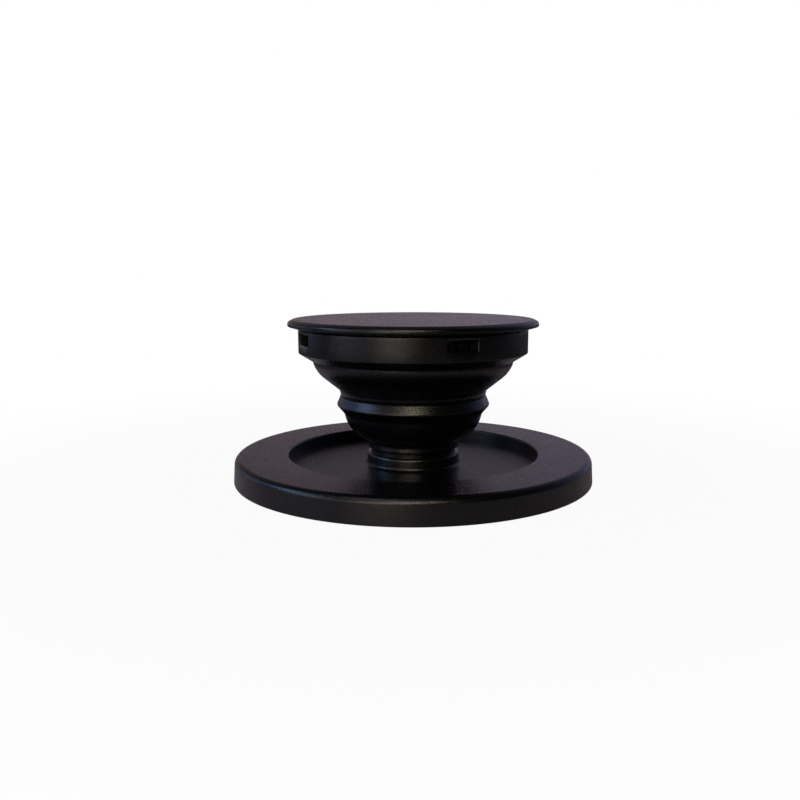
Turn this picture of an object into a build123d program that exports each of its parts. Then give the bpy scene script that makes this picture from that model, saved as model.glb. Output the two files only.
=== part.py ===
from build123d import *
import os
from math import degrees, radians

# Round magnetic phone grip, drawn out to its full height. Millimetres, with +Z away from the phone
# and the origin on the axis, in the plane of the phone's back. A wide flat base holds a ring of
# magnets, a soft moulded bellows folds down into it in two stages, and the gripping disc is held to
# the collar on top of the bellows by a quarter-turn bayonet.

# Roundings of moulded edges
SHARP = 0
BREAK = 0.1
SOFT = 0.15
ROUND = 0.3

# Base shell, with a flat rim round a shallow recess
BASE_RADIUS = 28.95
BASE_TOP_RADIUS = 28.85
BASE_FOOT = 0.1
RIM_HEIGHT = 4.03
RIM_ROUND = 1.0
RECESS_RADIUS = 20.25
RECESS_FLOOR = 2.2
COVER_SEAT_RADIUS = 27.7

# Hub ring in the middle of the base, with a lip that keeps the bellows foot in
HUB_RADIUS = 7.35
HUB_HEIGHT = 4.2
HUB_BORE = 5.2
HUB_LIP_UNDERSIDE = 2.9
COUNTERBORE_RADIUS = 6.5

# Pad and cover under the base
PAD_RADIUS = 27.4
PAD_THICKNESS = 0.6
COVER_RADIUS = 27.6
COVER_THICKNESS = 0.8
COVER_TOP = PAD_THICKNESS + COVER_THICKNESS

# Magnet ring, and the channel that it fills from the cover up
MAGNET_COUNT = 18
MAGNET_INNER_RADIUS = 23.0
MAGNET_OUTER_RADIUS = 27.0
MAGNET_THICKNESS = 1.25
MAGNET_SPACING = 0.5
SHUNT_THICKNESS = 0.4
CHANNEL_INNER_RADIUS = MAGNET_INNER_RADIUS - 0.3
CHANNEL_OUTER_RADIUS = MAGNET_OUTER_RADIUS + 0.3
CHANNEL_ROOF = COVER_TOP + MAGNET_THICKNESS + SHUNT_THICKNESS

# Bush that holds the bellows foot
RETAINER_BORE = 3.3
RETAINER_TOP = 4.9
RETAINER_FLANGE_TOP = 2.05

# Bellows, as (radius, height) of the corners of its outside from the foot up. The two folds have an
# even wall, and the band between them is a thick stiff ring
WALL = 0.8
FOOT_EDGE = (7.3, 4.75)
FOOT_TOP = (7.0, 5.75)
FOOT_ROUND = 0.5
LOWER_BOWL = (10.5, 7.77)
LOWER_BOWL_ROUND = 4.6
BAND_FOOT = (11.2, 10.5)
BAND_EDGE = (12.38, 11.9)
BAND_EDGE_ROUND = 0.35
BAND_TOP = (11.8, 13.3)
WAIST = (11.58, 13.45)
NECK_FOOT = (11.74, 13.6)
UPPER_ROOT = (11.92, 14.35)
UPPER_ROOT_ROUND = 0.6
UPPER_BOWL = (15.63, 17.33)
UPPER_BOWL_ROUND = 4.2
CUFF_FOOT = (16.05, 18.65)
FOOT_GROOVE_RADIUS = 6.6
FOOT_BORE = 4.3
FOOT_BORE_TOP = 5.2
CUFF_BORE = 15.25
CUFF_BORE_FOOT = 18.75
FIT = 0.05

# Collar, with an undercut for the flange of the bellows cuff and the bayonet groove above it
COLLAR_RADIUS = 18.36
COLLAR_TOP = 24.08
COLLAR_SIDE_FOOT = 20.4
COLLAR_FOOT = 19.0
COLLAR_BORE = 14.05
UNDERCUT_RADIUS = 17.1
UNDERCUT_FLOOR = 20.2
UNDERCUT_ROOF = 20.9
GROOVE_RADIUS = 16.3
GROOVE_FLOOR = 21.95
GROOVE_ROOF = 23.5
COLLAR_LIP_BORE = 15.0
WINDOW_COUNT = 4
WINDOW_ANGLE = 23.0
WINDOW_SWEEP = 15.0
STATIONS = [WINDOW_ANGLE + 360 / WINDOW_COUNT * index for index in range(WINDOW_COUNT)]

# Gripping disc, and its bayonet lugs, wide and narrow in turn
DISC_RADIUS = 20.0
DISC_TOP = 25.65
DISC_FACE_RADIUS = 19.2
DISC_FACE_ROUND = 0.6
DISC_SIDE_TOP = 25.24
DISC_SIDE_ROUND = 0.4
DISC_SIDE_FOOT = 24.62
DISC_UNDERSIDE = 24.25
DISC_UNDERSIDE_RADIUS = 18.7
DISC_CEILING = 24.0
SKIRT_RADIUS = 14.75
SKIRT_BORE = 13.75
LUG_RADIUS = 16.0
LUG_HEIGHT = 1.4
LUG_TIP_HEIGHT = 0.85
LUG_RAMP_ANGLE = 8.5
LUG_ANGLES = (21.0, 12.0)
LUG_OFFSET = 5.0
ENTRY_MARGIN = 2.5


def outline(*corners):
    """Close a line through (radius, height, rounding) corners."""
    points = [(radius, height) for radius, height, _ in corners]
    rounds = [rounding for _, _, rounding in corners]
    return FilletPolyline(*points, radius=rounds, close=True)


def inner_corner(before, corner, after):
    """The corner one wall thickness inside an outside corner, going up the bellows."""
    below = (Vector(corner) - Vector(before)).normalized().rotate(Axis.Z, 90)
    above = (Vector(after) - Vector(corner)).normalized().rotate(Axis.Z, 90)
    inner = Vector(corner) + (below + above) * (WALL / (1 + below.dot(above)))
    return inner.X, inner.Y


def ring_sector(inner, outer, start, sweep):
    """A piece of a flat ring between two radii, from a start angle in degrees."""
    with BuildSketch() as sector:
        with BuildLine():
            outer_arc = CenterArc((0, 0), outer, start, sweep)
            inner_arc = CenterArc((0, 0), inner, start, sweep)
            Line(outer_arc @ 0, inner_arc @ 0)
            Line(outer_arc @ 1, inner_arc @ 1)
        make_face()
    return sector.sketch


def bayonet_lug(sweep):
    """A lug rooted in the skirt, with the ramp over its leading end centred on the X axis."""
    ramp_reach = LUG_RADIUS * radians(LUG_RAMP_ANGLE) / 2
    ramp_drop = LUG_HEIGHT - LUG_TIP_HEIGHT
    with BuildPart() as lug:
        with BuildSketch(Plane.XY.offset(GROOVE_FLOOR)):
            add(ring_sector((SKIRT_BORE + SKIRT_RADIUS) / 2, LUG_RADIUS, -LUG_RAMP_ANGLE / 2, sweep))
        extrude(amount=LUG_HEIGHT)
        with BuildSketch(Plane.YZ):
            with BuildLine():
                Polyline(
                    (ramp_reach, GROOVE_FLOOR + LUG_HEIGHT),
                    (-2 * ramp_reach, GROOVE_FLOOR + LUG_HEIGHT - 1.5 * ramp_drop),
                    (-2 * ramp_reach, GROOVE_FLOOR + LUG_HEIGHT),
                    close=True,
                )
            make_face()
        extrude(amount=2 * LUG_RADIUS, mode=Mode.SUBTRACT)
    return lug.part


# Base shell: rim, recess and hub above, and below a channel for the magnets, a counterbore under the
# hub's lip and a seat for the cover
with BuildPart() as base_shell:
    with BuildSketch(Plane.XZ):
        with BuildLine():
            outline(
                (HUB_BORE, HUB_HEIGHT, SHARP),
                (HUB_RADIUS, HUB_HEIGHT, ROUND),
                (HUB_RADIUS, RECESS_FLOOR, ROUND),
                (RECESS_RADIUS, RECESS_FLOOR, SHARP),
                (RECESS_RADIUS, RIM_HEIGHT, ROUND),
                (BASE_TOP_RADIUS, RIM_HEIGHT, RIM_ROUND),
                (BASE_RADIUS, BASE_FOOT, SOFT),
                (COVER_SEAT_RADIUS, BASE_FOOT, SHARP),
                (COVER_SEAT_RADIUS, COVER_TOP, SHARP),
                (CHANNEL_OUTER_RADIUS, COVER_TOP, SHARP),
                (CHANNEL_OUTER_RADIUS, CHANNEL_ROOF, SHARP),
                (CHANNEL_INNER_RADIUS, CHANNEL_ROOF, SHARP),
                (CHANNEL_INNER_RADIUS, COVER_TOP, SHARP),
                (COUNTERBORE_RADIUS, COVER_TOP, SHARP),
                (COUNTERBORE_RADIUS, HUB_LIP_UNDERSIDE, SHARP),
                (HUB_BORE, HUB_LIP_UNDERSIDE, SHARP),
            )
        make_face()
    revolve(axis=Axis.Z)

# Pad that grips the phone, standing a little proud of the base's lower edge
with BuildPart() as contact_pad:
    with BuildSketch():
        Circle(PAD_RADIUS)
    extrude(amount=PAD_THICKNESS)
    fillet(contact_pad.edges().group_by(Axis.Z)[0], SOFT)

# Cover that closes the magnet channel from below
with BuildPart() as bottom_cover:
    with BuildSketch(Plane.XY.offset(PAD_THICKNESS)):
        Circle(COVER_RADIUS)
    extrude(amount=COVER_THICKNESS)

# Steel ring above the magnets
with BuildPart() as shunt_ring:
    with BuildSketch(Plane.XY.offset(COVER_TOP + MAGNET_THICKNESS)):
        Circle(MAGNET_OUTER_RADIUS)
        Circle(MAGNET_INNER_RADIUS, mode=Mode.SUBTRACT)
    extrude(amount=SHUNT_THICKNESS)

# Magnets: arc segments laid end to end, a little apart
magnet_pitch = 360 / MAGNET_COUNT
magnet_sweep = magnet_pitch - degrees(MAGNET_SPACING / MAGNET_INNER_RADIUS)
magnets = []
for index in range(MAGNET_COUNT):
    with BuildPart() as magnet:
        with BuildSketch(Plane.XY.offset(COVER_TOP)):
            add(ring_sector(MAGNET_INNER_RADIUS, MAGNET_OUTER_RADIUS, magnet_pitch * index, magnet_sweep))
        extrude(amount=MAGNET_THICKNESS)
    magnet.part.label = f"magnet_{index + 1:02d}"
    magnets.append(magnet.part)

# Flanged bush pushed up into the bellows foot from below
with BuildPart() as foot_retainer:
    with BuildSketch(Plane.XZ):
        with BuildLine():
            outline(
                (RETAINER_BORE, COVER_TOP, SHARP),
                (COUNTERBORE_RADIUS - 2 * FIT, COVER_TOP, SHARP),
                (COUNTERBORE_RADIUS - 2 * FIT, RETAINER_FLANGE_TOP, SHARP),
                (FOOT_BORE - FIT, RETAINER_FLANGE_TOP, SHARP),
                (FOOT_BORE - FIT, RETAINER_TOP, SHARP),
                (RETAINER_BORE, RETAINER_TOP, SHARP),
            )
        make_face()
    revolve(axis=Axis.Z)

# Bellows: the outside runs down from the flange of the cuff over the upper bowl, the waist, the band
# and the lower bowl to the foot and its flange, and the inside follows the folds back up
folds = [FOOT_TOP, LOWER_BOWL, BAND_FOOT, UPPER_ROOT, UPPER_BOWL, CUFF_FOOT]
inside = [inner_corner(*corners) for corners in zip(folds, folds[1:], folds[2:])]
lower_bowl_inside, band_foot_inside, upper_root_inside, upper_bowl_inside = inside
with BuildPart() as bellows:
    with BuildSketch(Plane.XZ):
        with BuildLine():
            outline(
                (UNDERCUT_RADIUS - FIT, UNDERCUT_ROOF, SHARP),
                (UNDERCUT_RADIUS - FIT, UNDERCUT_FLOOR, SHARP),
                (CUFF_FOOT[0], UNDERCUT_FLOOR, SHARP),
                (*CUFF_FOOT, SHARP),
                (*UPPER_BOWL, UPPER_BOWL_ROUND),
                (*UPPER_ROOT, UPPER_ROOT_ROUND),
                (*NECK_FOOT, SHARP),
                (*WAIST, SHARP),
                (*BAND_TOP, BREAK),
                (*BAND_EDGE, BAND_EDGE_ROUND),
                (*BAND_FOOT, SOFT),
                (*LOWER_BOWL, LOWER_BOWL_ROUND),
                (*FOOT_TOP, FOOT_ROUND),
                (*FOOT_EDGE, BREAK),
                (FOOT_GROOVE_RADIUS, FOOT_EDGE[1], SHARP),
                (FOOT_GROOVE_RADIUS, HUB_HEIGHT, SHARP),
                (HUB_BORE - 2 * FIT, HUB_HEIGHT, SHARP),
                (HUB_BORE - 2 * FIT, HUB_LIP_UNDERSIDE, SHARP),
                (COUNTERBORE_RADIUS - 2 * FIT, HUB_LIP_UNDERSIDE, SHARP),
                (COUNTERBORE_RADIUS - 2 * FIT, RETAINER_FLANGE_TOP, SHARP),
                (FOOT_BORE, RETAINER_FLANGE_TOP, SHARP),
                (FOOT_BORE, FOOT_BORE_TOP, SHARP),
                (*lower_bowl_inside, LOWER_BOWL_ROUND - WALL),
                (*band_foot_inside, SHARP),
                (*upper_root_inside, UPPER_ROOT_ROUND),
                (*upper_bowl_inside, UPPER_BOWL_ROUND - 2 * WALL),
                (CUFF_BORE, CUFF_BORE_FOOT, SHARP),
                (CUFF_BORE, UNDERCUT_ROOF, SHARP),
            )
        make_face()
    revolve(axis=Axis.Z)

# Collar: a straight wall over a coned underside. A window in the wall shows each lug, and the lip
# above the groove is cut away where the lugs of the other width go in after a quarter turn
with BuildPart() as collar:
    with BuildSketch(Plane.XZ):
        with BuildLine():
            outline(
                (COLLAR_LIP_BORE, COLLAR_TOP, SHARP),
                (COLLAR_RADIUS, COLLAR_TOP, SOFT),
                (COLLAR_RADIUS, COLLAR_SIDE_FOOT, SOFT),
                (CUFF_FOOT[0] + FIT, COLLAR_FOOT, BREAK),
                (CUFF_FOOT[0] + FIT, UNDERCUT_FLOOR, SHARP),
                (UNDERCUT_RADIUS, UNDERCUT_FLOOR, SHARP),
                (UNDERCUT_RADIUS, UNDERCUT_ROOF, SHARP),
                (COLLAR_BORE, UNDERCUT_ROOF, SHARP),
                (COLLAR_BORE, GROOVE_FLOOR, SHARP),
                (GROOVE_RADIUS, GROOVE_FLOOR, SHARP),
                (GROOVE_RADIUS, GROOVE_ROOF, SHARP),
                (COLLAR_LIP_BORE, GROOVE_ROOF, SHARP),
            )
        make_face()
    revolve(axis=Axis.Z)
    with BuildSketch(Plane.XY.offset(GROOVE_FLOOR)):
        for station in STATIONS:
            add(ring_sector(LUG_RADIUS, DISC_RADIUS, station - WINDOW_SWEEP / 2, WINDOW_SWEEP))
    extrude(amount=GROOVE_ROOF - GROOVE_FLOOR, mode=Mode.SUBTRACT)
    with BuildSketch(Plane.XY.offset(GROOVE_ROOF)):
        for index, station in enumerate(STATIONS):
            entry_start = station + LUG_OFFSET - LUG_RAMP_ANGLE / 2 - ENTRY_MARGIN
            entry_sweep = LUG_ANGLES[(index + 1) % 2] + 2 * ENTRY_MARGIN
            add(ring_sector(COLLAR_BORE, GROOVE_RADIUS, entry_start, entry_sweep))
    extrude(amount=COLLAR_TOP - GROOVE_ROOF, mode=Mode.SUBTRACT)

# Gripping disc: a flat plate with a rounded edge, and a skirt with four lugs that stands on the
# collar's ledge
with BuildPart() as top_disc:
    with BuildSketch(Plane.XZ):
        with BuildLine():
            outline(
                (0, DISC_TOP, SHARP),
                (DISC_FACE_RADIUS, DISC_TOP, DISC_FACE_ROUND),
                (DISC_RADIUS, DISC_SIDE_TOP, DISC_SIDE_ROUND),
                (DISC_RADIUS, DISC_SIDE_FOOT, SOFT),
                (DISC_UNDERSIDE_RADIUS, DISC_UNDERSIDE, SOFT),
                (SKIRT_RADIUS, DISC_UNDERSIDE, SHARP),
                (SKIRT_RADIUS, GROOVE_FLOOR, SHARP),
                (SKIRT_BORE, GROOVE_FLOOR, SHARP),
                (SKIRT_BORE, DISC_CEILING, SHARP),
                (0, DISC_CEILING, SHARP),
            )
        make_face()
    revolve(axis=Axis.Z)
    for index, station in enumerate(STATIONS):
        add(bayonet_lug(LUG_ANGLES[index % 2]), rotation=(0, 0, station + LUG_OFFSET))

base_shell.part.label = "base_shell"
contact_pad.part.label = "contact_pad"
bottom_cover.part.label = "bottom_cover"
shunt_ring.part.label = "shunt_ring"
foot_retainer.part.label = "foot_retainer"
bellows.part.label = "bellows"
collar.part.label = "collar"
top_disc.part.label = "top_disc"

os.makedirs("parts", exist_ok=True)
singles = [base_shell, contact_pad, bottom_cover, shunt_ring, foot_retainer, bellows, collar, top_disc]
for piece in [single.part for single in singles] + magnets:
    export_step(piece, f"parts/{piece.label}.step")
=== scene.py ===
"""Collapsible phone grip: finished pieces, finishes and studio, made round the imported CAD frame.

Lengths are in metres, with +Z up and the origin on the axis in the plane of the phone's back. Round
pieces are drawn as an outline of (radius, height, rounding) corners and turned about the axis.
"""

from math import atan2, ceil, cos, degrees, pi, radians, sin, tan, tau

import bmesh
import bpy
from bpy.props import FloatProperty, FloatVectorProperty, PointerProperty
from mathutils import Matrix, Vector


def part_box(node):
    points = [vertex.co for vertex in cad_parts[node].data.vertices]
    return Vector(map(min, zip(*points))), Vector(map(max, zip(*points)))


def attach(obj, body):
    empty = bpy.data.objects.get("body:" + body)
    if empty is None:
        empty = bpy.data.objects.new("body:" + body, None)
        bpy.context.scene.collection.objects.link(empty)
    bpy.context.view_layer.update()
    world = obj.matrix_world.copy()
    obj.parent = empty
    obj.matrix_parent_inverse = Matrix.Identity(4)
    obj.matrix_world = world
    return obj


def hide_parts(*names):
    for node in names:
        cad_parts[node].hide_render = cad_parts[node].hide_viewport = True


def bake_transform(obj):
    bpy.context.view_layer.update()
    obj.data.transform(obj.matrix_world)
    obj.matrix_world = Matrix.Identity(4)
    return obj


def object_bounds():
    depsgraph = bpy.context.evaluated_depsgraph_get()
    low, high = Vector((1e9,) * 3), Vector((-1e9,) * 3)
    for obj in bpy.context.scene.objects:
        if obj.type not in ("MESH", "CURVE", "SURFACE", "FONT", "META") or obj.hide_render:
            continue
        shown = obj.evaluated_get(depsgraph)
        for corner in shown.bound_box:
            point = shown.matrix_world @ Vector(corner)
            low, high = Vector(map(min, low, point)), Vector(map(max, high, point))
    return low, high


bl_info = {
    "name": "Collapsible Phone Grip",
    "version": (1, 0, 0),
    "blender": (4, 5, 0),
    "location": "3D View > Sidebar > Grip",
    "description": "Builds a magnetic collapsible phone grip with its finishes and studio",
    "category": "Add Mesh",
}

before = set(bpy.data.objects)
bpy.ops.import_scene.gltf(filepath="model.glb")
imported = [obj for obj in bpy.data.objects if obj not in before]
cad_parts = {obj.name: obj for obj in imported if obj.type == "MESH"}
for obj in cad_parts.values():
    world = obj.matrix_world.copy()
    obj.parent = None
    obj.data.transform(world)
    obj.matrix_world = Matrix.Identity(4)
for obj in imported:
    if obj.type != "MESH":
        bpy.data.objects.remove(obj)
CAD_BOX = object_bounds()

MM = 0.001
ORIGIN = (0.0, 0.0, 0.0)
AXIS = (0.0, 0.0, 1.0)
BEHIND = (0.0, 1.0, 0.0)
BEHIND_RIGHT = (sin(radians(45)), cos(radians(45)), 0.0)
WHITE = (1.0, 1.0, 1.0, 1.0)

# Windows round the collar, with as many lugs on the disc and entries in the lip
WINDOWS = 4

# Roundings of moulded edges
SHARP = 0.0
BREAK = 0.1 * MM
SOFT = 0.15 * MM
ROUND = 0.3 * MM

# Fineness of the meshes
RING_STEPS = 240
COLLAR_STEPS = 360
FEWEST_STEPS = 2
ARC_STEP = radians(11)
FOLD_EDGE = 0.45 * MM
MERGE = 0.002 * MM
MARGIN = 0.025 * MM
SHARP_ANGLE = radians(40)

# Levels of a colour in its darker and lighter clouds
DARKER = 0.8
LIGHTER = 1.2

# Floor and camera
FLOOR_RADIUS = 2.0
FLOOR_SIDES = 96
FLOOR_DROP = 0.02 * MM
SENSOR_WIDTH = 36.0
CLIP_START = 5 * MM

# Azimuth from the camera and elevation of each light, in degrees
LIGHT_PLACES = {
    "key": (-30, 55),
    "front": (0, 28),
    "low": (-20, 8),
    "left": (-66, 10),
    "side": (-85, 27),
    "rear": (-115, 8),
}
SMALL_LIGHTS = ("front", "side")

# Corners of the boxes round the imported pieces
PAD_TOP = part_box("contact_pad")[1]
BELLOWS_FOOT, BELLOWS_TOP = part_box("bellows")
COLLAR_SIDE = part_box("collar")[1]
DISC_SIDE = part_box("top_disc")[1]
COVER_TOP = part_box("bottom_cover")[1]
SHUNT_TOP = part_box("shunt_ring")[1]


def length(name, description, default):
    """A size in metres that a user may change."""
    return FloatProperty(name=name, description=description, default=default, unit="LENGTH", precision=5)


def turn_angle(name, description, default):
    """An angle, given in degrees, that a user may change."""
    return FloatProperty(name=name, description=description, default=radians(default), subtype="ANGLE")


def colour(name, description, default):
    """A linear colour that a user may change."""
    return FloatVectorProperty(
        name=name, description=description, default=default, size=3, subtype="COLOR", min=0.0, soft_max=1.0
    )


def share(name, description, default):
    """A plain number from 0 to 1 that a user may change."""
    return FloatProperty(name=name, description=description, default=default, min=0.0, max=1.0)


def power(name, description, default):
    """The power of a light, in watts, that a user may change."""
    return FloatProperty(name=name, description=description, default=default, min=0.0, unit="POWER")


class GripBaseSizes(bpy.types.PropertyGroup):
    """Sizes of the base and of the pad under it."""

    radius: length("Radius", "Radius of the base at its lower edge", 28.95 * MM)
    top_radius: length("Top radius", "Radius of the base at its upper edge", 28.72 * MM)
    foot: length("Foot", "Height of the base's lower edge over the phone", 0.1 * MM)
    rim_height: length("Rim height", "Height of the flat rim", 4.03 * MM)
    rim_round: length("Rim rounding", "Rounding of the outer edge", 1.0 * MM)
    recess_radius: length("Recess radius", "Radius of the recess that takes the folds", 20.25 * MM)
    recess_floor: length("Recess floor", "Height of the recess floor", 2.2 * MM)
    hub_radius: length("Hub radius", "Radius of the hub ring", 7.5 * MM)
    hub_height: length("Hub height", "Height of the hub ring's top", 4.2 * MM)
    hub_round: length("Hub rounding", "Rounding of the hub ring's edge and foot", 0.5 * MM)
    hub_bore: length("Hub bore", "Radius of the bore in the hub's lip", 5.2 * MM)
    lip_underside: length("Lip underside", "Height of the hub lip's underside", 2.9 * MM)
    counterbore: length("Counterbore", "Radius of the counterbore under the lip", 6.5 * MM)
    cover_seat: length("Cover seat", "Radius of the seat for the bottom cover", 27.7 * MM)
    channel_inner: length("Channel inside", "Inner radius of the magnet channel", 22.7 * MM)
    channel_outer: length("Channel outside", "Outer radius of the magnet channel", 27.3 * MM)


class GripBellowsSizes(bpy.types.PropertyGroup):
    """Sizes of the soft neck, from the foot up."""

    wall: length("Wall", "Thickness of the folding walls", 0.8 * MM)
    foot_radius: length("Foot radius", "Radius of the foot's lower edge", 7.35 * MM)
    foot_edge: length("Foot edge", "Height of the foot's lower edge", 4.75 * MM)
    foot_edge_round: length("Foot edge rounding", "Rounding of the foot's lower edge", 0.42 * MM)
    foot_top_radius: length("Foot top radius", "Radius where the lower fold begins", 7.25 * MM)
    foot_top: length("Foot top", "Height where the lower fold begins", 6.0 * MM)
    foot_round: length("Foot rounding", "Rounding between the foot and the lower fold", 0.5 * MM)
    groove_radius: length("Groove radius", "Radius of the groove between foot and hub", 6.85 * MM)
    foot_bore: length("Foot bore", "Radius of the bore in the foot", 4.3 * MM)
    foot_bore_top: length("Foot bore top", "Height where the bore opens out", 5.2 * MM)
    flange_radius: length("Foot flange", "Radius of the flange under the hub's lip", 6.4 * MM)
    neck_radius: length("Foot neck", "Radius of the foot inside the hub's lip", 5.1 * MM)
    lower_bowl_radius: length("Lower bowl radius", "Radius of the lower fold's corner", 10.5 * MM)
    lower_bowl_height: length("Lower bowl height", "Height of the lower fold's corner", 7.77 * MM)
    lower_bowl_round: length("Lower bowl rounding", "Rounding of the lower fold", 4.6 * MM)
    band_foot_radius: length("Band foot radius", "Radius of the band's lower edge", 11.2 * MM)
    band_foot_height: length("Band foot height", "Height of the band's lower edge", 10.5 * MM)
    band_radius: length("Band radius", "Radius of the band", 12.38 * MM)
    band_height: length("Band height", "Height of the band's widest line", 11.9 * MM)
    band_round: length("Band rounding", "Rounding of the band's widest line", 0.35 * MM)
    band_top_radius: length("Band top radius", "Radius of the band's upper edge", 11.8 * MM)
    band_top_height: length("Band top height", "Height of the band's upper edge", 13.3 * MM)
    waist_radius: length("Waist radius", "Radius of the crease above the band", 11.58 * MM)
    waist_height: length("Waist height", "Height of the crease above the band", 13.45 * MM)
    neck_foot_radius: length("Neck foot radius", "Radius just above the crease", 11.74 * MM)
    neck_foot_height: length("Neck foot height", "Height just above the crease", 13.6 * MM)
    upper_root_radius: length("Upper root radius", "Radius where the upper fold begins", 11.92 * MM)
    upper_root_height: length("Upper root height", "Height where the upper fold begins", 14.35 * MM)
    upper_root_round: length("Upper root rounding", "Rounding where the upper fold begins", 0.6 * MM)
    upper_bowl_radius: length("Upper bowl radius", "Radius of the upper fold's corner", 15.63 * MM)
    upper_bowl_height: length("Upper bowl height", "Height of the upper fold's corner", 17.33 * MM)
    upper_bowl_round: length("Upper bowl rounding", "Rounding of the upper fold", 4.2 * MM)
    cuff_radius: length("Cuff radius", "Radius of the cuff in the collar", 16.05 * MM)
    cuff_foot: length("Cuff foot", "Height where the upper fold ends", 18.65 * MM)
    cuff_bore: length("Cuff bore", "Inner radius of the cuff", 15.25 * MM)
    cuff_bore_foot: length("Cuff bore foot", "Height where the cuff's bore begins", 18.75 * MM)


class GripCollarSizes(bpy.types.PropertyGroup):
    """Sizes of the collar on top of the neck."""

    side_foot: length("Side foot", "Height where the straight wall ends", 20.4 * MM)
    foot: length("Foot", "Height of the collar's lowest edge", 19.0 * MM)
    foot_bore: length("Foot bore", "Radius of the bore round the cuff", 16.1 * MM)
    undercut_radius: length("Undercut radius", "Radius of the undercut for the cuff's flange", 17.1 * MM)
    undercut_floor: length("Undercut floor", "Height of the undercut's floor", 20.2 * MM)
    ledge_bore: length("Ledge bore", "Radius of the bore in the ledge under the skirt", 14.05 * MM)
    groove_radius: length("Groove radius", "Radius of the bayonet groove", 16.3 * MM)
    groove_floor: length("Groove floor", "Height of the bayonet groove's floor", 21.95 * MM)
    groove_roof: length("Groove roof", "Height of the bayonet groove's roof", 23.5 * MM)
    lip_bore: length("Lip bore", "Radius of the bore in the lip over the groove", 15.0 * MM)
    window_angle: turn_angle("Window angle", "Angle of the first window from +X", 23.0)
    window_sweep: turn_angle("Window sweep", "Angle that a window opens", 15.0)
    window_edge: length("Window edge", "Rounding of a window's outer edge", 0.25 * MM)


class GripDiscSizes(bpy.types.PropertyGroup):
    """Sizes of the gripping disc and its bayonet lugs."""

    face_radius: length("Face radius", "Radius of the flat top face", 19.2 * MM)
    face_round: length("Face rounding", "Rounding of the top face's edge", 0.6 * MM)
    side_top: length("Side top", "Height of the side's upper end", 25.24 * MM)
    side_round: length("Side rounding", "Rounding of the side's upper end", 0.4 * MM)
    side_foot: length("Side foot", "Height of the side's lower end", 24.62 * MM)
    underside: length("Underside", "Height of the underside", 24.25 * MM)
    underside_radius: length("Underside radius", "Radius where the underside ends", 18.7 * MM)
    ceiling: length("Ceiling", "Height of the plate's lower face inside the skirt", 24.0 * MM)
    skirt_radius: length("Skirt radius", "Outer radius of the skirt", 14.75 * MM)
    skirt_bore: length("Skirt bore", "Inner radius of the skirt", 13.75 * MM)
    lug_radius: length("Lug radius", "Outer radius of the lugs", 16.0 * MM)
    lug_height: length("Lug height", "Height of a lug behind its ramp", 1.4 * MM)
    lug_tip: length("Lug tip", "Height of a lug at the tip of its ramp", 0.85 * MM)
    lug_ramp: turn_angle("Lug ramp", "Angle of a lug's ramp", 8.5)
    lug_offset: turn_angle("Lug offset", "Angle from a window to the middle of the ramp", 5.0)
    wide_lug: turn_angle("Wide lug", "Angle of a wide lug", 21.0)
    narrow_lug: turn_angle("Narrow lug", "Angle of a narrow lug", 12.0)
    entry_margin: turn_angle("Entry margin", "Room on each side of a lug in the collar's lip", 2.5)


class GripFinishes(bpy.types.PropertyGroup):
    """Colours and textures of the surfaces."""

    plastic: colour("Plastic", "Colour of the moulded black plastic", (0.0008, 0.0008, 0.001))
    plastic_roughness: share("Plastic roughness", "Roughness of the moulded black plastic", 0.25)
    rubber: colour("Rubber", "Colour of the soft neck", (0.0007, 0.0007, 0.0009))
    rubber_roughness: share("Rubber roughness", "Roughness of the soft neck", 0.28)
    cloud_size: length("Cloud size", "Size of the faint clouds in the black mouldings", 6 * MM)
    cloud_gloss: share("Cloud gloss", "How much the gloss changes from cloud to cloud", 0.06)
    grain_size: length("Grain size", "Size of the fine moulded grain", 0.12 * MM)
    grain_depth: length("Grain depth", "Depth of the fine moulded grain", 0.024 * MM)
    speck_size: length("Speck size", "Size of the specks of gloss", 0.2 * MM)
    speck_gloss: share("Speck gloss", "How much the gloss changes from speck to speck", 0.16)
    neck_line: turn_angle("Neck parting", "Angle of the neck's parting line from +X", 335.0)
    collar_line: turn_angle("Collar parting", "Angle of the collar's parting line from +X", 347.0)
    # Parting line colour: lighter than the plastic, a painted highlight along the raised ridge
    parting_line_highlight: colour("Parting line", "Colour of the mould's parting lines", (0.03, 0.03, 0.035))
    line_width: length("Parting width", "Width of the mould's parting line", 0.6 * MM)
    line_height: length("Parting height", "Height of the mould's parting line", 0.2 * MM)
    pad: colour("Pad", "Colour of the contact pad", (0.012, 0.012, 0.013))
    pad_roughness: share("Pad roughness", "Roughness in the middle of the pad's cells", 0.7)
    pad_gloss: share("Pad gloss", "How much rougher the pad is between its cells", 0.15)
    pad_cell: length("Pad cell", "Size of the pad's cells", 0.5 * MM)
    pad_depth: length("Pad depth", "Height of the net between the pad's cells", 0.03 * MM)
    pad_cloud: length("Pad cloud", "Size of the faint clouds in the pad", 8 * MM)
    inner: colour("Inner plastic", "Colour of the cover and of the bush in the foot", (0.03, 0.03, 0.033))
    inner_roughness: share("Inner roughness", "Least roughness of the inner plastic", 0.4)
    inner_gloss: share("Inner gloss", "How much rougher the inner plastic is in its clouds", 0.15)
    inner_cloud: length("Inner cloud", "Size of the faint clouds in the inner plastic", 3 * MM)
    steel: colour("Steel", "Colour of the steel ring", (0.56, 0.55, 0.53))
    steel_roughness: share("Steel roughness", "Roughness of the steel ring", 0.35)
    nickel: colour("Nickel", "Colour of the magnets' plating", (0.66, 0.62, 0.56))
    nickel_roughness: share("Nickel roughness", "Roughness of the magnets' plating", 0.25)
    mark_size: length("Mark size", "Size of the lapping marks on metal", 0.4 * MM)
    mark_level: share("Mark level", "Level of the metal's colour in a lapping mark", 0.9)
    mark_gloss: share("Mark gloss", "How much the gloss of metal changes in a lapping mark", 0.12)


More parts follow.
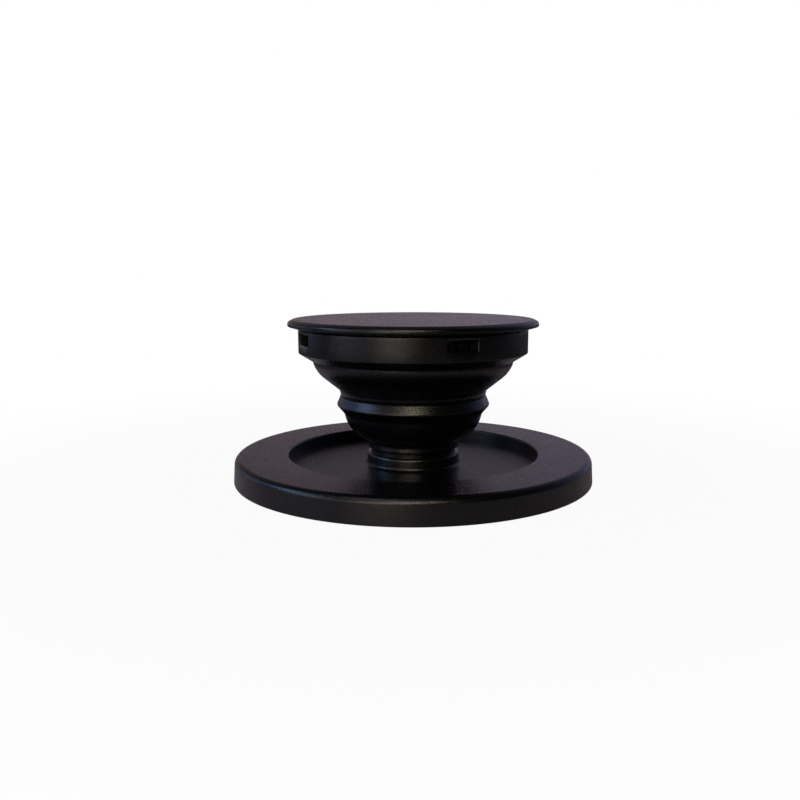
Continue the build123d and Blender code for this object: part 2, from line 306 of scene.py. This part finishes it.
class GripStudio(bpy.types.PropertyGroup):
    """Camera, floor and lights."""

    camera_distance: length("Camera distance", "From the axis to the camera", 132.06 * MM)
    camera_height: length("Camera height", "From the phone's back to the camera", 33.48 * MM)
    camera_pitch: turn_angle("Camera pitch", "How far the camera looks down", 9.077)
    lens: FloatProperty(name="Lens", description="Focal length in millimetres", default=36.931)
    shift_x: FloatProperty(name="Shift X", description="Sideways framing", default=-0.0165)
    floor: colour("Floor", "Colour of the pale floor round the object", (0.74, 0.67, 0.72))
    # Painted falloff of light: the floor's colour further off is painted darker than the pale floor round
    # the object, and shows in reflections
    floor_painted_falloff: colour("Far floor", "Colour that the floor reflects further off", (0.2, 0.18, 0.17))
    floor_shade: share("Floor shade", "How much of the near floor's own colour is seen", 0.05)
    floor_near: length("Near floor", "Reach of the pale floor", 40 * MM)
    floor_far: length("Far floor reach", "Where the floor has turned to its further colour", 120 * MM)
    backdrop: colour("Backdrop", "Light from behind the object", (0.195, 0.152, 0.172))
    horizon: colour("Horizon", "Light from behind, close to the floor", (0.86, 0.65, 0.72))
    horizon_height: share("Horizon height", "Upright reach of the light close to the floor", 0.1)
    sky: colour("Sky", "Light from behind on the right", (0.08, 0.12, 0.27))
    mirrored: share("Mirrored white", "How much of the white background shows in reflections", 0.02)
    key: colour("Key", "Colour of the high light from the front left", (0.9, 0.85, 1.0))
    key_power: power("Key power", "High light from the front left", 0.34)
    front: colour("Front", "Colour of the light from the front", (1.0, 0.88, 0.62))
    front_power: power("Front power", "Light from the front", 0.74)
    low: colour("Low", "Colour of the low light from the front", (1.0, 0.9, 0.77))
    low_power: power("Low power", "Low light from the front", 0.9)
    left: colour("Left", "Colour of the light from the left", (0.78, 0.82, 1.0))
    left_power: power("Left power", "Light from the left", 0.5)
    side: colour("Side", "Colour of the light from the left side", (0.34, 0.53, 1.0))
    side_power: power("Side power", "Light from the left side", 0.52)
    rear: colour("Rear", "Colour of the low light from behind on the left", (0.4, 0.55, 1.0))
    rear_power: power("Rear power", "Low light from behind on the left", 0.18)
    lamp_size: length("Lamp size", "Side of the broad square lights", 320 * MM)
    small_lamp: length("Small lamp", "Side of the square lights that draw the edges", 180 * MM)
    lamp_distance: length("Lamp distance", "From the object to each light", 600 * MM)


class GripSettings(bpy.types.PropertyGroup):
    """Everything that the sidebar shows."""

    base: PointerProperty(type=GripBaseSizes)
    bellows: PointerProperty(type=GripBellowsSizes)
    collar: PointerProperty(type=GripCollarSizes)
    disc: PointerProperty(type=GripDiscSizes)
    finishes: PointerProperty(type=GripFinishes)
    studio: PointerProperty(type=GripStudio)


class Signal:
    """Output of a shader node, for use in Python sums and products."""

    def __init__(self, board, socket):
        self.board = board
        self.socket = socket

    def maths(self, operation, *values):
        """A Math node on this board."""
        return self.board.node("ShaderNodeMath", {"operation": operation}, dict(enumerate(values)))

    def __add__(self, other):
        return self.maths("ADD", self, other)

    def __sub__(self, other):
        return self.maths("SUBTRACT", self, other)

    def __rsub__(self, other):
        return self.maths("SUBTRACT", other, self)

    def __mul__(self, other):
        return self.maths("MULTIPLY", self, other)

    def __abs__(self):
        return self.maths("ABSOLUTE", self)

    def plus(self, other):
        """The sum of two colours."""
        return self.board.node("ShaderNodeVectorMath", {"operation": "ADD"}, {0: self, 1: other})

    def largest(self, other):
        """The larger of two values."""
        return self.maths("MAXIMUM", self, other)

    __radd__ = __add__
    __rmul__ = __mul__


class Board:
    """Node tree of one finish, with one way to add nodes."""

    def __init__(self, tree):
        self.tree = tree
        tree.nodes.clear()

    def node(self, kind, settings, inputs, output=0):
        """Add a node, set it up, and give back one of its outputs."""
        node = self.tree.nodes.new(kind)
        for key, value in settings.items():
            setattr(node, key, value)
        for key, value in inputs.items():
            if isinstance(value, Signal):
                self.tree.links.new(value.socket, node.inputs[key])
            else:
                node.inputs[key].default_value = value
        return Signal(self, node.outputs[output] if node.outputs else None)

    def place(self):
        """Where a point is on the object."""
        return self.node("ShaderNodeTexCoord", {}, {}, "Object")

    def noise(self, vector, size, detail):
        """Cloudy noise with features of a given size, from 0 to 1."""
        inputs = {"Vector": vector, "Scale": 1 / size, "Detail": detail}
        return self.node("ShaderNodeTexNoise", {}, inputs)

    def along(self, vector, direction):
        """How far a vector reaches in a direction."""
        inputs = {0: vector, 1: direction}
        return self.node("ShaderNodeVectorMath", {"operation": "DOT_PRODUCT"}, inputs, "Value")

    def smooth(self, value, low, high):
        """0 below low, 1 above high, and smooth between them."""
        settings = {"interpolation_type": "SMOOTHSTEP"}
        inputs = {"Value": value, "From Min": low, "From Max": high}
        return self.node("ShaderNodeMapRange", settings, inputs)

    def mix(self, factor, one, two):
        """A colour between two colours."""
        inputs = {0: factor, 6: one, 7: two}
        return self.node("ShaderNodeMix", {"data_type": "RGBA"}, inputs, 2)

    def clouded(self, tint, cloud):
        """A colour that is darker in some clouds and lighter in others."""
        return self.mix(cloud, opaque(tint, DARKER), opaque(tint, LIGHTER))

    def swing(self, noise, reach):
        """Noise as a change up and down about nothing, with a given reach."""
        return (noise - 0.5) * reach

    def bump(self, height):
        """Surface raised by a height in millimetres."""
        return self.node("ShaderNodeBump", {}, {"Height": height, "Distance": MM})

    def scale(self, tint, level):
        """A colour lightened or darkened by a level."""
        return self.node("ShaderNodeVectorMath", {"operation": "SCALE"}, {0: tint, "Scale": level})

    def ray(self, kind):
        """1 for rays of one kind."""
        return self.node("ShaderNodeLightPath", {}, {}, f"Is {kind} Ray")

    def surface(self, inputs):
        """End the tree in one opaque surface."""
        shader = self.node("ShaderNodeBsdfPrincipled", {}, inputs)
        self.node("ShaderNodeOutputMaterial", {}, {"Surface": shader})


def opaque(tint, level=1.0):
    """A colour with its alpha, lightened or darkened."""
    return (*[channel * level for channel in tint], 1.0)


def new_finish(name):
    """A material and the board of its nodes."""
    material = bpy.data.materials.new(name)
    material.use_nodes = True
    return material, Board(material.node_tree)


def moulded_finish(name, tint, roughness, finishes, line_angle, line_foot, line_top):
    """Black moulding with a fine grain, specks of gloss and the mould's parting line, a raised ridge
    painted lighter as a painted highlight.
    """
    material, board = new_finish(name)
    place = board.place()
    grain = board.noise(place, finishes.grain_size, detail=2.0)
    speck = board.noise(place, finishes.speck_size, detail=1.0)
    cloud = board.noise(place, finishes.cloud_size, detail=3.0)
    across = (sin(line_angle), -cos(line_angle), 0.0)
    level = board.along(place, AXIS)
    above = board.smooth(level, line_foot, line_foot + finishes.line_width)
    below = 1 - board.smooth(level, line_top, line_top + finishes.line_width)
    strip = 1 - board.smooth(abs(board.along(place, across)), 0.0, finishes.line_width / 2)
    line = strip * above * below
    height = grain * (finishes.grain_depth / MM) + line * (finishes.line_height / MM)
    gloss = board.swing(cloud, finishes.cloud_gloss) + board.swing(speck, finishes.speck_gloss)
    board.surface({
        # The raised parting line is painted lighter: a painted highlight along it
        "Base Color": board.mix(line, board.clouded(tint, cloud), opaque(finishes.parting_line_highlight)),
        "Roughness": gloss + roughness,
        "Normal": board.bump(height),
    })
    return material


def pad_finish(finishes):
    """Matt grippy pad with a close net of fine cells."""
    material, board = new_finish("grippy_pad")
    place = board.place()
    cells = board.node("ShaderNodeTexVoronoi", {}, {"Vector": place, "Scale": 1 / finishes.pad_cell})
    cloud = board.noise(place, finishes.pad_cloud, detail=2.0)
    board.surface({
        "Base Color": board.clouded(finishes.pad, cloud),
        "Roughness": cells * finishes.pad_gloss + finishes.pad_roughness,
        "Normal": board.bump(cells * (finishes.pad_depth / MM)),
    })
    return material


def inner_finish(name, finishes):
    """Plain satin moulding for plastic pieces out of sight."""
    material, board = new_finish(name)
    cloud = board.noise(board.place(), finishes.inner_cloud, detail=3.0)
    board.surface({
        "Base Color": board.clouded(finishes.inner, cloud),
        "Roughness": cloud * finishes.inner_gloss + finishes.inner_roughness,
    })
    return material


def metal_finish(name, tint, roughness, finishes):
    """Bare or plated metal with faint lapping marks."""
    material, board = new_finish(name)
    marks = board.noise(board.place(), finishes.mark_size, detail=4.0)
    board.surface({
        "Base Color": board.mix(marks, opaque(tint, finishes.mark_level), opaque(tint)),
        "Metallic": 1.0,
        "Roughness": board.swing(marks, finishes.mark_gloss) + roughness,
    })
    return material


def round_corner(bm, vert, rounding):
    """Turn one corner of a line into an arc."""
    before, after = [edge.other_vert(vert).co - vert.co for edge in vert.link_edges]
    turn = pi - before.angle(after)
    bmesh.ops.bevel(
        bm,
        geom=[vert],
        offset=rounding * tan(turn / 2),
        offset_type="OFFSET",
        segments=max(FEWEST_STEPS, ceil(turn / ARC_STEP)),
        profile=0.5,
        affect="VERTICES",
        material=-1,
    )


def draw_outline(corners, closed=True):
    """Line through (radius, height, rounding) corners, in a new mesh."""
    bm = bmesh.new()
    verts = [bm.verts.new((radius, 0.0, height)) for radius, height, _ in corners]
    ends = verts[1:] + verts[:closed]
    for start, end in zip(verts, ends):
        bm.edges.new((start, end))
    for vert, (_, _, rounding) in zip(verts, corners):
        if rounding:
            round_corner(bm, vert, rounding)
    return bm


def divide_long_edges(bm, limit):
    """Divide the straight runs of an outline into edges no longer than a limit."""
    for edge in bm.edges[:]:
        cuts = ceil(edge.calc_length() / limit) - 1
        if cuts:
            bmesh.ops.subdivide_edges(bm, edges=[edge], cuts=cuts)


def turn_round(bm, steps=RING_STEPS):
    """Turn an outline about the axis and close the ring."""
    outline = bm.verts[:] + bm.edges[:]
    bmesh.ops.spin(bm, geom=outline, cent=ORIGIN, axis=AXIS, angle=tau, steps=steps, use_merge=True)
    tidy(bm)


def tidy(bm):
    """Merge doubled points and point the faces outwards."""
    bmesh.ops.remove_doubles(bm, verts=bm.verts, dist=MERGE)
    bmesh.ops.recalc_face_normals(bm, faces=bm.faces)


def turn_about_axis(bm, verts, angle):
    """Turn points about the object's axis."""
    bmesh.ops.rotate(bm, verts=verts, cent=ORIGIN, matrix=Matrix.Rotation(angle, 3, "Z"))


def make_piece(bm, name, material, node):
    """A finished piece that stands for a CAD node."""
    mesh = bpy.data.meshes.new(name)
    bm.to_mesh(mesh)
    bm.free()
    mesh.shade_smooth()
    mesh.set_sharp_from_angle(angle=SHARP_ANGLE)
    mesh.materials.append(material)
    piece = bpy.data.objects.new(name, mesh)
    bpy.context.scene.collection.objects.link(piece)
    normals = piece.modifiers.new("flat faces", "WEIGHTED_NORMAL")
    normals.keep_sharp = True
    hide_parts(node)
    return piece


def plastic_finish(grip):
    """The hard black plastic, made once, with a parting line down the collar."""
    name = "moulded_plastic"
    finishes = grip.finishes
    line = (finishes.collar_line, grip.collar.foot, COLLAR_SIDE.z)
    known = bpy.data.materials.get(name)
    return known or moulded_finish(name, finishes.plastic, finishes.plastic_roughness, finishes, *line)


def rubber_finish(grip):
    """The soft black rubber, with a parting line down the folds."""
    finishes, neck = grip.finishes, grip.bellows
    line = (finishes.neck_line, neck.foot_top, neck.cuff_foot)
    return moulded_finish("neck_rubber", finishes.rubber, finishes.rubber_roughness, finishes, *line)


class GRIP_OT_add_base(bpy.types.Operator):
    """Turn the base: rim, recess, hub ring, and the magnet channel and cover seat below"""

    bl_idname = "grip.add_base"
    bl_label = "Add Base"

    def execute(self, context):
        grip = context.scene.grip
        base = grip.base
        bm = draw_outline([
            (base.hub_bore, base.hub_height, SHARP),
            (base.hub_radius, base.hub_height, base.hub_round),
            (base.hub_radius, base.recess_floor, base.hub_round),
            (base.recess_radius, base.recess_floor, SHARP),
            (base.recess_radius, base.rim_height, ROUND),
            (base.top_radius, base.rim_height, base.rim_round),
            (base.radius, base.foot, SOFT),
            (base.cover_seat, base.foot, SHARP),
            (base.cover_seat, COVER_TOP.z, SHARP),
            (base.channel_outer, COVER_TOP.z, SHARP),
            (base.channel_outer, SHUNT_TOP.z, SHARP),
            (base.channel_inner, SHUNT_TOP.z, SHARP),
            (base.channel_inner, COVER_TOP.z, SHARP),
            (base.counterbore, COVER_TOP.z, SHARP),
            (base.counterbore, base.lip_underside, SHARP),
            (base.hub_bore, base.lip_underside, SHARP),
        ])
        turn_round(bm)
        piece = make_piece(bm, "base_body", plastic_finish(grip), "base_shell")
        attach(piece, "base")
        return {"FINISHED"}


class GRIP_OT_add_pad(bpy.types.Operator):
    """Turn the grippy pad on the phone side"""

    bl_idname = "grip.add_pad"
    bl_label = "Add Pad"

    def execute(self, context):
        finishes = context.scene.grip.finishes
        corners = [
            (0.0, 0.0, SHARP),
            (PAD_TOP.x, 0.0, SOFT),
            (PAD_TOP.x, PAD_TOP.z, SHARP),
            (0.0, PAD_TOP.z, SHARP),
        ]
        bm = draw_outline(corners, closed=False)
        turn_round(bm)
        piece = make_piece(bm, "phone_pad", pad_finish(finishes), "contact_pad")
        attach(piece, "base")
        return {"FINISHED"}


def inner_corner(wall, before, corner, after):
    """The corner one wall thickness inside an outside corner, going up the bellows."""
    below = (Vector(corner) - Vector(before)).normalized().orthogonal()
    above = (Vector(after) - Vector(corner)).normalized().orthogonal()
    return Vector(corner) + (below + above) * (wall / (1 + below.dot(above)))


class GRIP_OT_add_bellows(bpy.types.Operator):
    """Turn the soft neck in two halves that meet in the crease above the band"""

    bl_idname = "grip.add_bellows"
    bl_label = "Add Bellows"

    def execute(self, context):
        grip = context.scene.grip
        neck, base, collar = grip.bellows, grip.base, grip.collar
        foot_top = (neck.foot_top_radius, neck.foot_top)
        lower_bowl = (neck.lower_bowl_radius, neck.lower_bowl_height)
        band_foot = (neck.band_foot_radius, neck.band_foot_height)
        upper_root = (neck.upper_root_radius, neck.upper_root_height)
        upper_bowl = (neck.upper_bowl_radius, neck.upper_bowl_height)
        cuff_foot = (neck.cuff_radius, neck.cuff_foot)
        folds = [foot_top, lower_bowl, band_foot, upper_root, upper_bowl, cuff_foot]
        inside = [inner_corner(neck.wall, *corners) for corners in zip(folds, folds[1:], folds[2:])]
        lower_bowl_inside, band_foot_inside, upper_root_inside, upper_bowl_inside = inside
        rise = (neck.waist_height - band_foot_inside.y) / (upper_root_inside.y - band_foot_inside.y)
        waist = (neck.waist_radius, neck.waist_height, SHARP)
        waist_inside = (*band_foot_inside.lerp(upper_root_inside, rise), SHARP)
        lower = draw_outline([
            waist,
            (neck.band_top_radius, neck.band_top_height, BREAK),
            (neck.band_radius, neck.band_height, neck.band_round),
            (*band_foot, SOFT),
            (*lower_bowl, neck.lower_bowl_round),
            (*foot_top, neck.foot_round),
            (neck.foot_radius, neck.foot_edge, neck.foot_edge_round),
            (neck.groove_radius, neck.foot_edge, SHARP),
            (neck.groove_radius, base.hub_height, SHARP),
            (neck.neck_radius, base.hub_height, SHARP),
            (neck.neck_radius, base.lip_underside, SHARP),
            (neck.flange_radius, base.lip_underside, SHARP),
            (neck.flange_radius, BELLOWS_FOOT.z, SHARP),
            (neck.foot_bore, BELLOWS_FOOT.z, SHARP),
            (neck.foot_bore, neck.foot_bore_top, SHARP),
            (*lower_bowl_inside, neck.lower_bowl_round - neck.wall),
            (*band_foot_inside, SHARP),
            waist_inside,
        ])
        upper = draw_outline([
            waist_inside,
            (*upper_root_inside, neck.upper_root_round),
            (*upper_bowl_inside, neck.upper_bowl_round - 2 * neck.wall),
            (neck.cuff_bore, neck.cuff_bore_foot, SHARP),
            (neck.cuff_bore, BELLOWS_TOP.z, SHARP),
            (BELLOWS_TOP.x, BELLOWS_TOP.z, SHARP),
            (BELLOWS_TOP.x, collar.undercut_floor, SHARP),
            (neck.cuff_radius, collar.undercut_floor, SHARP),
            (*cuff_foot, SHARP),
            (*upper_bowl, neck.upper_bowl_round),
            (*upper_root, neck.upper_root_round),
            (neck.neck_foot_radius, neck.neck_foot_height, SHARP),
            waist,
        ])
        rubber = rubber_finish(grip)
        halves = [
            ("bellows_lower", lower, "base", "bellows", neck.foot_top, neck.band_foot_height),
            ("bellows_upper", upper, "bellows", "collar", neck.waist_height, collar.foot),
        ]
        for name, bm, below, above, start, end in halves:
            divide_long_edges(bm, FOLD_EDGE)
            turn_round(bm)
            piece = make_piece(bm, name, rubber, "bellows")
            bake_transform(piece)
        return {"FINISHED"}


def ring_place(element):
    """Radius, angle from +X and height of a face's middle or an edge's middle."""
    if isinstance(element, bmesh.types.BMFace):
        middle = element.calc_center_median()
    else:
        middle = (element.verts[0].co + element.verts[1].co) / 2
    return middle.xy.length, atan2(middle.y, middle.x), middle.z


def in_sector(angle, start, sweep):
    """True if an angle lies in a sector that begins at start."""
    return (angle - start) % tau < sweep


class GRIP_OT_add_collar(bpy.types.Operator):
    """Turn the collar, then open its windows and the entries in its lip"""

    bl_idname = "grip.add_collar"
    bl_label = "Add Collar"

    def execute(self, context):
        grip = context.scene.grip
        collar = grip.collar
        bm = draw_outline([
            (collar.lip_bore, COLLAR_SIDE.z, SHARP),
            (collar.groove_radius, COLLAR_SIDE.z, SHARP),
            (COLLAR_SIDE.x, COLLAR_SIDE.z, SOFT),
            (COLLAR_SIDE.x, collar.groove_roof, SHARP),
            (COLLAR_SIDE.x, collar.groove_floor, SHARP),
            (COLLAR_SIDE.x, collar.side_foot, SOFT),
            (collar.foot_bore, collar.foot, BREAK),
            (collar.foot_bore, collar.undercut_floor, SHARP),
            (collar.undercut_radius, collar.undercut_floor, SHARP),
            (collar.undercut_radius, BELLOWS_TOP.z, SHARP),
            (collar.ledge_bore, BELLOWS_TOP.z, SHARP),
            (collar.ledge_bore, collar.groove_floor, SHARP),
            (collar.groove_radius, collar.groove_floor, SHARP),
            (collar.groove_radius, collar.groove_roof, SHARP),
            (collar.lip_bore, collar.groove_roof, SHARP),
        ])
        window = collar.window_sweep
        turn_about_axis(bm, bm.verts, collar.window_angle - window / 2)
        turn_round(bm, COLLAR_STEPS)
        stations = [collar.window_angle + tau / WINDOWS * index for index in range(WINDOWS)]
        for station in stations:
            self.open_window(bm, collar, station - window / 2, window)
        for index, station in enumerate(stations):
            self.open_entry(bm, grip, station, index % 2)
        tidy(bm)
        piece = make_piece(bm, "collar_ring", plastic_finish(grip), "collar")
        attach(piece, "collar")
        return {"FINISHED"}

    def open_window(self, bm, collar, start, sweep):
        """Cut one window through the wall, with a rounded outer edge."""
        faces = []
        for face in bm.faces:
            radius, angle, height = ring_place(face)
            in_wall = radius > (collar.lip_bore + collar.groove_radius) / 2
            in_height = collar.groove_floor < height < collar.groove_roof
            if in_wall and in_height and in_sector(angle, start, sweep):
                faces.append(face)
        bmesh.ops.delete(bm, geom=faces, context="FACES")
        rims = [edge for edge in bm.edges if edge.is_boundary]
        outer = [edge for edge in rims if ring_place(edge)[0] > (collar.groove_radius + COLLAR_SIDE.x) / 2]
        bmesh.ops.bridge_loops(bm, edges=rims)
        bmesh.ops.bevel(
            bm,
            geom=outer,
            offset=collar.window_edge,
            offset_type="OFFSET",
            segments=FEWEST_STEPS,
            profile=0.5,
            affect="EDGES",
            material=-1,
        )

    def open_entry(self, bm, grip, station, odd):
        """Cut the lip away where a lug of the other width goes in after a quarter turn."""
        collar, disc = grip.collar, grip.disc
        sweep = (disc.wide_lug if odd else disc.narrow_lug) + 2 * disc.entry_margin
        start = station + disc.lug_offset - disc.lug_ramp / 2 - disc.entry_margin
        faces = []
        for face in bm.faces:
            radius, angle, height = ring_place(face)
            in_lip = radius < collar.groove_radius - MARGIN and height > collar.groove_roof - MERGE
            if in_lip and in_sector(angle, start, sweep):
                faces.append(face)
        bmesh.ops.delete(bm, geom=faces, context="FACES")
        rim = [edge for edge in bm.edges if edge.is_boundary]
        arcs = [edge for edge in rim if ring_place(edge)[0] > collar.groove_radius - MARGIN]
        bmesh.ops.bridge_loops(bm, edges=arcs)
        bmesh.ops.holes_fill(bm, edges=[edge for edge in bm.edges if edge.is_boundary], sides=0)


class GRIP_OT_add_disc(bpy.types.Operator):
    """Turn the gripping disc with its skirt, and add the bayonet lugs"""

    bl_idname = "grip.add_disc"
    bl_label = "Add Disc"

    def execute(self, context):
        grip = context.scene.grip
        disc, collar = grip.disc, grip.collar
        corners = [
            (0.0, DISC_SIDE.z, SHARP),
            (disc.face_radius, DISC_SIDE.z, disc.face_round),
            (DISC_SIDE.x, disc.side_top, disc.side_round),
            (DISC_SIDE.x, disc.side_foot, SOFT),
            (disc.underside_radius, disc.underside, SOFT),
            (disc.skirt_radius, disc.underside, SHARP),
            (disc.skirt_radius, collar.groove_floor, SHARP),
            (disc.skirt_bore, collar.groove_floor, SHARP),
            (disc.skirt_bore, disc.ceiling, SHARP),
            (0.0, disc.ceiling, SHARP),
        ]
        bm = draw_outline(corners, closed=False)
        turn_round(bm)
        for index in range(WINDOWS):
            start = collar.window_angle + tau / WINDOWS * index + disc.lug_offset - disc.lug_ramp / 2
            self.add_lug(bm, grip, start, disc.narrow_lug if index % 2 else disc.wide_lug)
        bmesh.ops.recalc_face_normals(bm, faces=bm.faces)
        piece = make_piece(bm, "grip_disc", plastic_finish(grip), "top_disc")
        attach(piece, "top")
        return {"FINISHED"}

    def add_lug(self, bm, grip, start, sweep):
        """Add one lug rooted in the skirt, with a ramp at its leading end."""
        disc, floor = grip.disc, grip.collar.groove_floor
        root = (disc.skirt_bore + disc.skirt_radius) / 2
        top = floor + disc.lug_height
        section = [(root, floor), (disc.lug_radius, floor), (disc.lug_radius, top), (root, top)]
        verts = [bm.verts.new((radius, 0.0, height)) for radius, height in section]
        face = bm.faces.new(verts)
        known = set(bm.verts) - set(verts)
        geom = [face, *face.edges, *verts]
        bmesh.ops.spin(bm, geom=geom, cent=ORIGIN, axis=AXIS, angle=sweep, steps=round(degrees(sweep)))
        lug = [vert for vert in bm.verts if vert not in known]
        for vert in lug:
            back = min(1.0, atan2(vert.co.y, vert.co.x) / disc.lug_ramp)
            if vert.co.z > floor + MERGE:
                vert.co.z = floor + disc.lug_tip + (disc.lug_height - disc.lug_tip) * back
        turn_about_axis(bm, lug, start)


class GRIP_OT_finish_inside(bpy.types.Operator):
    """Give the pieces out of sight their finishes"""

    bl_idname = "grip.finish_inside"
    bl_label = "Finish Inside"

    def execute(self, context):
        finishes = context.scene.grip.finishes
        inside = {
            "bottom_cover": inner_finish("cover_plastic", finishes),
            "foot_retainer": inner_finish("bush_plastic", finishes),
            "shunt_ring": metal_finish("shunt_steel", finishes.steel, finishes.steel_roughness, finishes),
        }
        nickel = metal_finish("magnet_nickel", finishes.nickel, finishes.nickel_roughness, finishes)
        for name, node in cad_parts.items():
            material = nickel if name.startswith("magnet") else inside.get(name)
            if material:
                node.material_slots[0].material = material
        return {"FINISHED"}


def aimed_light(studio, name, azimuth, elevation):
    """A square soft light, aimed at the object from an azimuth left or right of the camera."""
    lamp = bpy.data.lights.new(name, "AREA")
    lamp.size = studio.small_lamp if name in SMALL_LIGHTS else studio.lamp_size
    lamp.color = getattr(studio, name)
    lamp.energy = getattr(studio, f"{name}_power")
    light = bpy.data.objects.new(name, lamp)
    bpy.context.scene.collection.objects.link(light)
    flat = cos(elevation)
    towards = Vector((sin(azimuth) * flat, -cos(azimuth) * flat, sin(elevation)))
    middle = (CAD_BOX[0] + CAD_BOX[1]) / 2
    light.location = middle + towards * studio.lamp_distance
    light.rotation_euler = towards.to_track_quat("Z", "Y").to_euler()


class GRIP_OT_add_stage(bpy.types.Operator):
    """Set up the floor, the lights and the camera"""

    bl_idname = "grip.add_stage"
    bl_label = "Add Stage"

    def execute(self, context):
        studio = context.scene.grip.studio
        self.add_floor(studio)
        self.add_world(context.scene, studio)
        for name, (azimuth, elevation) in LIGHT_PLACES.items():
            aimed_light(studio, name, radians(azimuth), radians(elevation))
        self.add_camera(context.scene, studio)
        return {"FINISHED"}

    def background(self, board, studio):
        """Share of the white background that a ray sees."""
        seen = board.ray("Camera").largest(board.ray("Transmission"))
        return seen.largest(board.ray("Glossy") * studio.mirrored)

    def add_floor(self, studio):
        """Floor with a painted pool of light: pale round the object and painted darker further off, where
        the camera sees only white.
        """
        material, board = new_finish("pale_floor")
        spread = board.node("ShaderNodeVectorMath", {"operation": "LENGTH"}, {0: board.place()}, "Value")
        near = 1 - board.smooth(spread, studio.floor_near, studio.floor_far)
        white = self.background(board, studio) * (1 - near * studio.floor_shade)
        # Painted pool of light: the floor is pale near the object and painted darker further off
        tint = board.mix(near, opaque(studio.floor_painted_falloff), opaque(studio.floor))
        paint = board.node("ShaderNodeBsdfDiffuse", {}, {"Color": tint})
        glow = board.node("ShaderNodeEmission", {}, {"Color": WHITE})
        shader = board.node("ShaderNodeMixShader", {}, {0: white, 1: paint, 2: glow})
        board.node("ShaderNodeOutputMaterial", {}, {"Surface": shader})
        bm = bmesh.new()
        bmesh.ops.create_circle(bm, cap_ends=True, segments=FLOOR_SIDES, radius=FLOOR_RADIUS)
        bmesh.ops.translate(bm, verts=bm.verts, vec=(0.0, 0.0, -FLOOR_DROP))
        mesh = bpy.data.meshes.new("studio_floor")
        bm.to_mesh(mesh)
        bm.free()
        mesh.materials.append(material)
        floor = bpy.data.objects.new("studio_floor", mesh)
        bpy.context.scene.collection.objects.link(floor)

    def add_world(self, scene, studio):
        """Soft light from behind and from behind on the right, with a white background."""
        world = bpy.data.worlds.new("studio_light")
        world.use_nodes = True
        scene.world = world
        board = Board(world.node_tree)
        direction = board.node("ShaderNodeTexCoord", {}, {}, "Generated")
        behind = board.along(direction, BEHIND).largest(0.0)
        right = board.along(direction, BEHIND_RIGHT).largest(0.0)
        low = 1 - board.smooth(board.along(direction, AXIS), 0.0, studio.horizon_height)
        upright = board.mix(low, opaque(studio.backdrop), opaque(studio.horizon))
        backdrop = board.scale(upright, behind * behind)
        sky = board.scale(studio.sky, right * right * right * right)
        seen = self.background(board, studio)
        light = board.mix(seen, backdrop.plus(sky), WHITE)
        shader = board.node("ShaderNodeBackground", {}, {"Color": light, "Strength": 1.0})
        board.node("ShaderNodeOutputWorld", {}, {"Surface": shader})
        scene.view_settings.view_transform = "Standard"

    def add_camera(self, scene, studio):
        """Camera a hand's width away and a little above the disc."""
        camera = bpy.data.objects.new("camera", bpy.data.cameras.new("camera"))
        camera.location = (0.0, -studio.camera_distance, studio.camera_height)
        camera.rotation_euler = (pi / 2 - studio.camera_pitch, 0.0, 0.0)
        camera.data.lens = studio.lens
        camera.data.sensor_width = SENSOR_WIDTH
        camera.data.shift_x = studio.shift_x
        camera.data.clip_start = CLIP_START
        scene.collection.objects.link(camera)
        scene.camera = camera


class GRIP_PT_sidebar(bpy.types.Panel):
    """Sizes, finishes and pieces of the grip"""

    bl_idname = "GRIP_PT_sidebar"
    bl_label = "Phone Grip"
    bl_space_type = "VIEW_3D"
    bl_region_type = "UI"
    bl_category = "Grip"

    def draw(self, context):
        for name in GripSettings.__annotations__:
            group = getattr(context.scene.grip, name)
            box = self.layout.box()
            box.label(text=name.title())
            for size in group.__annotations__:
                box.prop(group, size)
        for operator in OPERATORS:
            self.layout.operator(operator.bl_idname)


GROUPS = (
    GripBaseSizes,
    GripBellowsSizes,
    GripCollarSizes,
    GripDiscSizes,
    GripFinishes,
    GripStudio,
    GripSettings,
)
OPERATORS = (
    GRIP_OT_add_base,
    GRIP_OT_add_pad,
    GRIP_OT_add_bellows,
    GRIP_OT_add_collar,
    GRIP_OT_add_disc,
    GRIP_OT_finish_inside,
    GRIP_OT_add_stage,
)
CLASSES = (*GROUPS, *OPERATORS, GRIP_PT_sidebar)


def register():
    """Add the classes and the settings."""
    for item in CLASSES:
        bpy.utils.register_class(item)
    bpy.types.Scene.grip = PointerProperty(type=GripSettings)


def unregister():
    """Take the settings and the classes away."""
    del bpy.types.Scene.grip
    for item in reversed(CLASSES):
        bpy.utils.unregister_class(item)


def main():
    """Build every piece and the stage."""
    register()
    bpy.ops.grip.add_base()
    bpy.ops.grip.add_pad()
    bpy.ops.grip.add_bellows()
    bpy.ops.grip.add_collar()
    bpy.ops.grip.add_disc()
    bpy.ops.grip.finish_inside()
    bpy.ops.grip.add_stage()


if __name__ == "__main__":
    main()
